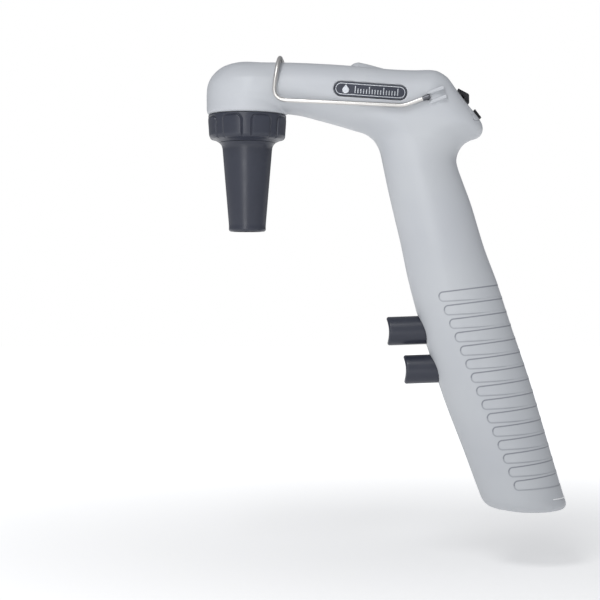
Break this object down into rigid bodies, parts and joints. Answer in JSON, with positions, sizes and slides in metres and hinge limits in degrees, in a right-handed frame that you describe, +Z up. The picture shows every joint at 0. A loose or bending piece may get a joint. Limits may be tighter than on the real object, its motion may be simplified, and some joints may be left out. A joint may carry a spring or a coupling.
{
  "type": "motorized pipette controller",
  "caption": "Pistol-grip pump controller for serological pipettes, with finger triggers, a screw-collar nose cone, rear slide switches and a folding wire stand.",
  "frame": {"origin": "centre of the hand grip, on the plane where the two shells meet", "axes": "+Z up with the nozzle pointing down, -X towards the nozzle, +Y to the object's right side"},
  "size_m": [0.1931, 0.0468, 0.2449],
  "materials": {
    "shell": "satin",
    "charcoal": "satin",
    "black": "satin",
    "badge": "gloss",
    "steel": "satin",
    "stand_wire": "polished",
    "brass": "satin",
    "silicone": "matt",
    "rubber": "matt",
    "inner_plastic": "satin",
    "board": "satin",
    "cell": "gloss",
    "red_lead": "satin"
  },
  "bodies": {
    "housing": {"left_shell": "shell", "right_shell": "shell", "shell_screw_1": "steel", "shell_screw_2": "steel", "shell_screw_3": "steel", "shell_screw_4": "steel", "shell_screw_5": "steel", "shell_screw_6": "steel", "badge_left": "badge", "badge_right": "badge", "indicator_hood": "shell", "power_lamp": "black", "charge_socket": "black", "outlet_spigot": "inner_plastic", "outlet_tube": "silicone", "battery_lead": "red_lead", "motor_lead": "black", "rear_panel": "shell", "control_board": "board", "stand_bush_left": "brass", "stand_bush_right": "brass", "motor": "steel", "pump_housing": "black", "diaphragm": "silicone", "pump_head": "black", "pressure_tube": "silicone", "suction_tube": "silicone", "battery_cell_1": "cell", "battery_cell_2": "cell", "battery_cell_3": "cell", "cell_cradle": "black", "valve_block": "inner_plastic", "upper_stem_seal": "rubber", "upper_spring": "steel", "upper_microswitch": "black", "lower_stem_seal": "rubber", "lower_spring": "steel", "lower_microswitch": "black", "speed_switch": "black", "mode_switch": "black"},
    "nose": {"nose_cone": "charcoal", "pipette_holder": "rubber", "filter_gasket": "rubber", "membrane_filter": "inner_plastic"},
    "collar": {"collar_nut": "charcoal"},
    "trigger_upper": {"upper_trigger": "charcoal", "upper_valve_stem": "steel"},
    "trigger_lower": {"lower_trigger": "charcoal", "lower_valve_stem": "steel"},
    "stand": {"wire_stand": "stand_wire"},
    "speed": {"speed_slider": "black"},
    "mode": {"mode_slider": "black"},
    "door": {"battery_door": "shell", "door_contact": "brass"},
    "crank": {"pump_crank": "steel"}
  },
  "joints": [
    {"name": "stand_swing", "type": "hinge", "parent": "housing", "child": "stand", "pos_m": [-0.0057, 0, 0.0692], "axis": [0, 1, 0], "range_deg": [0, 180]},
    {"name": "nose_slide", "type": "slide", "parent": "housing", "child": "nose", "axis": [0, 0, -1], "range_m": [0, 0.0091]},
    {"name": "collar_turn", "type": "hinge", "parent": "nose", "child": "collar", "pos_m": [-0.1024, 0, 0.055], "axis": [0, 0, -1], "range_deg": [0, 1080]},
    {"name": "upper_press", "type": "slide", "parent": "housing", "child": "trigger_upper", "axis": [0.9994, 0, 0.0349], "range_m": [0, 0.005], "stiffness_N_per_m": 400, "springref_m": -0.003, "deforming": ["upper_spring"]},
    {"name": "lower_press", "type": "slide", "parent": "housing", "child": "trigger_lower", "axis": [0.9994, 0, 0.0349], "range_m": [0, 0.005], "stiffness_N_per_m": 400, "springref_m": -0.003, "deforming": ["lower_spring"]},
    {"name": "speed_slide", "type": "slide", "parent": "housing", "child": "speed", "axis": [0.6074, 0, -0.7944], "range_m": [-0.003, 0.003]},
    {"name": "mode_slide", "type": "slide", "parent": "housing", "child": "mode", "axis": [0.6074, 0, -0.7944], "range_m": [0, 0.002]},
    {"name": "door_pull", "type": "slide", "parent": "housing", "child": "door", "axis": [0.3007, 0, -0.9537], "range_m": [0, 0.025]},
    {"name": "pump_spin", "type": "hinge", "parent": "housing", "child": "crank", "pos_m": [-0.0006, 0, 0.003], "axis": [-0.3007, 0, 0.9537], "continuous": true}
  ],
  "couplings": [
    {"joint": "nose_slide", "follows": "collar_turn", "m_per_rad": 0.00047746}
  ]
}
